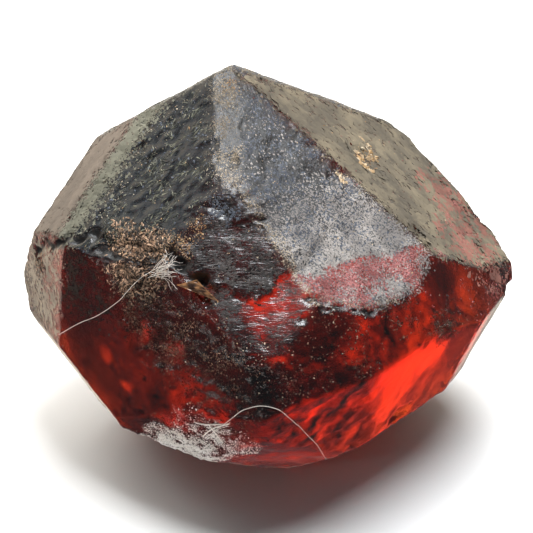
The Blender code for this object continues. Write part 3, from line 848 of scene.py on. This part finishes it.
def chip_solids(places, outward, shrink, size, lie, random):
    """Little angular chips, each a closed solid with eight faces, half sunk in the skin."""
    least, most, width, thickness = size
    lengths = (least + (most - least) * random.uniform(0, 1, len(places)) ** 2) * shrink
    toward = random.normal(size=outward.shape)
    if lie is not None:
        toward = np.array(lie) / np.linalg.norm(lie) + 0.45 * toward
    along = toward - (toward * outward).sum(axis=1)[:, None] * outward
    along /= np.linalg.norm(along, axis=1)[:, None]
    across = np.cross(outward, along)
    tips = []
    ways = ((along, 1), (-along, 1), (across, width), (-across, width), (outward, thickness))
    for direction, reach in ways:
        tips.append(direction * (reach * lengths * random.uniform(0.6, 1.3, len(places)))[:, None])
    tips.append(-tips[-1])
    lean = [random.normal(size=outward.shape) * (0.25 * width * lengths)[:, None] for _ in tips]
    steep = 1 - min(1, 4 * thickness)
    lean = [shift - steep * (shift * outward).sum(axis=1)[:, None] * outward for shift in lean]
    points = np.stack([places + tip + shift for tip, shift in zip(tips, lean)], axis=1).reshape(-1, 3)
    one = np.array([(0, 2, 4), (2, 1, 4), (1, 3, 4), (3, 0, 4), (2, 0, 5), (1, 2, 5), (3, 1, 5), (0, 3, 5)])
    return points, (np.arange(len(places))[:, None, None] * CHIP_CORNERS + one).reshape(-1, 3)


def make_chips(stone):
    points, triangles = stone["points"], stone["triangles"]
    corners = points[triangles]
    square = np.cross(corners[:, 1] - corners[:, 0], corners[:, 2] - corners[:, 0])
    area = np.linalg.norm(square, axis=1)
    for number, (name, kind) in enumerate(CHIPS.items()):
        random = np.random.default_rng(CHIP_SEED + number)
        likely = area * chip_chance(stone, kind)[triangles].mean(axis=1)
        picked = random.choice(len(area), kind["count"], p=likely / likely.sum())
        share = random.dirichlet((1, 1, 1), kind["count"])
        places = (corners[picked] * share[:, :, None]).sum(axis=1)
        outward = square[picked] / area[picked][:, None]
        shrink = 1 - 0.7 * stone["rim"][triangles[picked]].max(axis=1) * min(1, 4 * kind["size"][1])
        places = places + outward * kind.get("lift", 0)
        solids = chip_solids(places, outward, shrink, kind["size"], kind.get("lie"), random)
        obj = add_mesh(name, *solids, chip_material(name, *kind["colours"]), smooth=False)
        patches = np.clip(0.5 + 1.3 * noise_at(places, 0.55, 65), 0, 1)
        speckle = kind.get("speckle", 0.6)
        tone = speckle * random.uniform(0, 1, kind["count"]) + (1 - speckle) * patches
        add_mask(obj, "tone", np.repeat(tone ** kind.get("tone", 1.6), CHIP_CORNERS))
        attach(obj, "root")


def chip_material(name, dark, light, roughness):
    material = bpy.data.materials.new(name)
    material.use_nodes = True
    nodes, links = material.node_tree.nodes, material.node_tree.links
    shader = nodes["Principled BSDF"]
    tone = nodes.new("ShaderNodeAttribute")
    tone.attribute_name = "tone"
    colour = nodes.new("ShaderNodeMix")
    colour.data_type = "RGBA"
    colour.inputs["A"].default_value = (*dark, 1)
    colour.inputs["B"].default_value = (*light, 1)
    links.new(tone.outputs["Fac"], colour.inputs["Factor"])
    links.new(colour.outputs["Result"], shader.inputs["Base Color"])
    shader.inputs["Roughness"].default_value = roughness
    return material


def eased(corners, step):
    """Evenly spaced points on a smooth curve through these corners."""
    corners = np.array(corners, dtype=float)
    ends = np.vstack([2 * corners[0] - corners[1], corners, 2 * corners[-1] - corners[-2]])
    path = []
    for before, start, stop, after in zip(ends, ends[1:], ends[2:], ends[3:]):
        count = max(2, int(np.linalg.norm(stop - start) / step))
        for t in np.arange(count)[:, None] / count:
            bend = (2 * before - 5 * start + 4 * stop - after) * t**2
            turn = (3 * start - before - 3 * stop + after) * t**3
            path.append((2 * start + (stop - before) * t + bend + turn) / 2)
    return np.vstack(path + [corners[-1:]])


def laid_on(path, skin, lift):
    """The path moved out so that it lies on the stone's skin, a little above it where the skin dips."""
    rays = path / np.linalg.norm(path, axis=1)[:, None]
    laid = []
    for place, ray in zip(path, rays):
        near = skin.find_n(Vector(place), 6)
        top = max(np.array(co) @ ray for co, _index, _gap in near)
        laid.append(ray * (top + lift))
    laid = np.array(laid)
    for _ in range(3):
        laid[1:-1] = (laid[:-2] + 2 * laid[1:-1] + laid[2:]) / 4
    return laid


def tube_mesh(path, radius, sides=5):
    run = np.gradient(path, axis=0)
    run /= np.linalg.norm(run, axis=1)[:, None]
    across = np.cross(run, path)
    across /= np.linalg.norm(across, axis=1)[:, None]
    up = np.cross(run, across)
    turn = [math.tau * side / sides for side in range(sides)]
    rings = [path + radius * (math.cos(a) * across + math.sin(a) * up) for a in turn]
    points = np.stack(rings, axis=1).reshape(-1, 3)
    count = len(path)
    triangles = []
    for ring in range(count - 1):
        for side in range(sides):
            a, b = ring * sides + side, ring * sides + (side + 1) % sides
            triangles += [(a, a + sides, b), (b, a + sides, b + sides)]
    for side in range(1, sides - 1):
        triangles.append((0, side, side + 1))
        last = (count - 1) * sides
        triangles.append((last, last + side + 1, last + side))
    return points, triangles


def tangle_paths():
    """Short fibres in a loose bundle over the left end of the open crevice, some of them curled."""
    random = np.random.default_rng(TANGLE_SEED)
    paths = []
    for number in range(TANGLE_FIBRES):
        start = np.array(TANGLE_CENTRE) + np.array((-0.6, -0.1, -0.2))
        start = start + random.normal(size=3) * (0.30, 0.1, 0.14)
        heading = np.array((0.9, -0.2, 0.42)) + random.normal(size=3) * 0.22
        corners = [start]
        for step in range(7):
            curl = 1.1 if step > 3 and number % 2 else 0.22
            heading = heading / np.linalg.norm(heading) + random.normal(size=3) * curl
            corners.append(corners[-1] + 0.20 * heading / np.linalg.norm(heading))
        paths.append((random.uniform(0.007, 0.013), random.uniform(0.02, 0.14), corners))
    return paths


def make_sliver():
    """The thin amber splinter under the open crevice, a closed wedge let into the skin."""
    a, b, c = (np.array(corner) for corner in AMBER_SLIVER)
    outward = np.cross(b - a, c - a)
    outward /= np.linalg.norm(outward)
    rows = AMBER_ROWS
    top, start, upper = [], [i * (i + 1) // 2 for i in range(rows + 2)], []
    for i in range(rows + 1):
        top += [a + (b - a) * (i / rows) + (c - b) * (j / rows) for j in range(i + 1)]
    for i in range(rows):
        upper += [(start[i] + j, start[i + 1] + j, start[i + 1] + j + 1) for j in range(i + 1)]
    for i in range(1, rows):
        upper += [(start[i] + j, start[i + 1] + j + 1, start[i] + j + 1) for j in range(i)]
    top = np.array(top)
    left = [start[i] for i in range(rows + 1)]
    right = [start[i] + i for i in range(rows, -1, -1)]
    rim = left + [start[rows] + j for j in range(1, rows)] + right[:-1]
    lumps = noise_at(top, 3.5, 71)
    top = top + outward * (AMBER_STANDS + AMBER_LUMPS * lumps)[:, None]
    points = np.vstack([top, [(a + b + c) / 3 - AMBER_ROOT * outward]])
    sides = [(rim[(n + 1) % len(rim)], rim[n], len(top)) for n in range(len(rim))]
    material = chip_material("amber", *AMBER_COLOURS)
    obj = add_mesh("amber_sliver", points, upper + sides, material, smooth=False)
    edge = np.zeros(len(points))
    edge[rim] = 1.0
    add_mask(obj, "tone", np.clip(0.2 + 1.2 * np.append(lumps, 0) + 0.5 * edge, 0, 1))
    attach(obj, "root")


def make_lint(stone):
    skin = kdtree.KDTree(len(stone["points"]))
    for number, point in enumerate(stone["points"]):
        skin.insert(Vector(point), number)
    skin.balance()
    for name, fibres in (("lint_hairs", FIBRES), ("lint_tangle", tangle_paths())):
        points, triangles, start = [], [], 0
        for radius, lift, corners in fibres:
            path = laid_on(eased(corners, FIBRE_STEP), skin, lift)
            tube, faces = tube_mesh(path, radius)
            points.append(tube)
            triangles += [[corner + start for corner in face] for face in faces]
            start += len(tube)
        obj = add_mesh(name, np.vstack(points), triangles, lint_material())
        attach(obj, "root")


def lint_material():
    material = bpy.data.materials.new("lint")
    material.use_nodes = True
    nodes, links = material.node_tree.nodes, material.node_tree.links
    shader = nodes["Principled BSDF"]
    place = nodes.new("ShaderNodeTexCoord")
    cloud = nodes.new("ShaderNodeTexNoise")
    cloud.inputs["Scale"].default_value = 3000.0
    colour = nodes.new("ShaderNodeMix")
    colour.data_type = "RGBA"
    colour.inputs["A"].default_value = (0.62, 0.52, 0.44, 1)
    colour.inputs["B"].default_value = (0.95, 0.90, 0.84, 1)
    links.new(place.outputs["Object"], cloud.inputs["Vector"])
    links.new(cloud.outputs["Fac"], colour.inputs["Factor"])
    links.new(colour.outputs["Result"], shader.inputs["Base Color"])
    shader.inputs["Roughness"].default_value = 0.55
    return material


def garnet_material():
    material = bpy.data.materials.new("garnet")
    material.use_nodes = True
    tree = material.node_tree
    nodes, links = tree.nodes, tree.links
    shader = nodes["Principled BSDF"]
    output = nodes["Material Output"]
    # Painted shade: the film mask turns the base colour near black, so little light passes where the film
    # lies
    shade_film = nodes.new("ShaderNodeAttribute")
    shade_film.attribute_name = "shade_film"
    tint = nodes.new("ShaderNodeMix")
    tint.data_type = "RGBA"
    tint.inputs["A"].default_value = CLEAN_TINT
    tint.inputs["B"].default_value = SHADE_FILM_TINT
    links.new(shade_film.outputs["Fac"], tint.inputs["Factor"])
    links.new(tint.outputs["Result"], shader.inputs["Base Color"])
    shader.inputs["Transmission Weight"].default_value = 1.0
    shader.inputs["IOR"].default_value = GARNET_IOR
    etched = nodes.new("ShaderNodeAttribute")
    etched.attribute_name = "etched"
    rough = nodes.new("ShaderNodeMapRange")
    rough.inputs["To Min"].default_value = ROUGH_RANGE[0]
    rough.inputs["To Max"].default_value = ROUGH_RANGE[1]
    links.new(etched.outputs["Fac"], rough.inputs["Value"])
    links.new(rough.outputs["Result"], shader.inputs["Roughness"])
    place = nodes.new("ShaderNodeTexCoord")
    fine = nodes.new("ShaderNodeTexNoise")
    fine.inputs["Scale"].default_value = 8000.0
    fine.inputs["Detail"].default_value = 4.0
    fine.inputs["Roughness"].default_value = 0.7
    links.new(place.outputs["Object"], fine.inputs["Vector"])
    stretch = nodes.new("ShaderNodeMapping")
    stretch.inputs["Rotation"].default_value = (0.0, 0.12, 0.0)
    stretch.inputs["Scale"].default_value = (0.22, 1.0, 1.3)
    streaks = nodes.new("ShaderNodeTexNoise")
    streaks.inputs["Scale"].default_value = 7000.0
    streaks.inputs["Detail"].default_value = 3.0
    streaks.inputs["Distortion"].default_value = 0.8
    links.new(place.outputs["Object"], stretch.inputs["Vector"])
    links.new(stretch.outputs["Vector"], streaks.inputs["Vector"])
    streaked = nodes.new("ShaderNodeAttribute")
    streaked.attribute_name = "streaked"
    height = nodes.new("ShaderNodeMix")
    links.new(streaked.outputs["Fac"], height.inputs["Factor"])
    links.new(fine.outputs["Fac"], height.inputs["A"])
    links.new(streaks.outputs["Fac"], height.inputs["B"])
    bump = nodes.new("ShaderNodeBump")
    bump.inputs["Distance"].default_value = BUMP_DEPTH
    links.new(height.outputs["Result"], bump.inputs["Height"])
    links.new(etched.outputs["Fac"], bump.inputs["Strength"])
    links.new(bump.outputs["Normal"], shader.inputs["Normal"])
    absorb = nodes.new("ShaderNodeVolumeAbsorption")
    absorb.inputs["Color"].default_value = VOLUME_COLOUR
    absorb.inputs["Density"].default_value = VOLUME_DENSITY
    links.new(absorb.outputs["Volume"], output.inputs["Volume"])
    return material


def pale_floor():
    material = bpy.data.materials.new("pale_floor")
    material.use_nodes = True
    shader = material.node_tree.nodes["Principled BSDF"]
    shader.inputs["Base Color"].default_value = (0.86, 0.86, 0.85, 1)
    shader.inputs["Roughness"].default_value = 0.6
    mesh = bpy.data.meshes.new("floor")
    turn = [math.tau * step / FLOOR_SIDES for step in range(FLOOR_SIDES)]
    rim = [(FLOOR_RADIUS * math.cos(a), FLOOR_RADIUS * math.sin(a), 0) for a in turn]
    mesh.from_pydata(rim, [], [tuple(range(FLOOR_SIDES))])
    mesh.transform(Matrix.Translation((0, 0, -FLOOR_SINKS)))
    floor = bpy.data.objects.new("floor", mesh)
    bpy.context.scene.collection.objects.link(floor)
    mesh.materials.append(material)
    floor.visible_glossy = False


def softbox(name, at, size, power, colour, shown):
    data = bpy.data.lights.new(name, "AREA")
    data.shape = "DISK"
    data.size = size
    data.energy = power
    data.color = colour
    light = bpy.data.objects.new(name, data)
    light.location = at
    light.rotation_euler = (Vector(LIGHTS_AIM) - Vector(at)).to_track_quat("-Z", "Y").to_euler()
    light.visible_glossy = shown
    bpy.context.scene.collection.objects.link(light)


def studio_world():
    world = bpy.data.worlds.new("studio")
    world.use_nodes = True
    nodes, links = world.node_tree.nodes, world.node_tree.links
    place = nodes.new("ShaderNodeTexCoord")
    towards = nodes.new("ShaderNodeVectorMath")
    towards.operation = "DOT_PRODUCT"
    towards.inputs[1].default_value = SKY_WAY
    ramp = nodes.new("ShaderNodeMapRange")
    ramp.interpolation_type = "SMOOTHSTEP"
    ramp.inputs["From Min"].default_value = SKY_EDGE[0]
    ramp.inputs["From Max"].default_value = SKY_EDGE[1]
    ramp.inputs["To Min"].default_value = SKY_STRENGTH[0]
    ramp.inputs["To Max"].default_value = SKY_STRENGTH[1]
    colour = nodes.new("ShaderNodeMix")
    colour.data_type = "RGBA"
    colour.inputs["A"].default_value = SKY_COLOURS[0]
    colour.inputs["B"].default_value = SKY_COLOURS[1]
    links.new(place.outputs["Generated"], towards.inputs[0])
    links.new(towards.outputs["Value"], ramp.inputs["Value"])
    links.new(ramp.outputs["Result"], nodes["Background"].inputs["Strength"])
    links.new(ramp.outputs["Result"], colour.inputs["Factor"])
    links.new(colour.outputs["Result"], nodes["Background"].inputs["Color"])
    bpy.context.scene.world = world


def add_camera():
    data = bpy.data.cameras.new("camera")
    data.lens = CAMERA_LENS
    data.sensor_width = 36
    data.clip_start = 0.005
    data.clip_end = 10
    camera = bpy.data.objects.new("camera", data)
    camera.location = [(a + c) * MM for a, c in zip(CAMERA_AT, CENTRE)]
    camera.rotation_euler = (math.radians(90 - CAMERA_PITCH_DOWN), 0, 0)
    bpy.context.scene.collection.objects.link(camera)
    bpy.context.scene.camera = camera


stone = make_stone()
make_chips(stone)
make_sliver()
make_lint(stone)
pale_floor()
studio_world()
for light_name, light_values in STUDIO_LIGHTS.items():
    softbox(light_name, *light_values)
add_camera()
bpy.context.scene.view_settings.view_transform = "Standard"
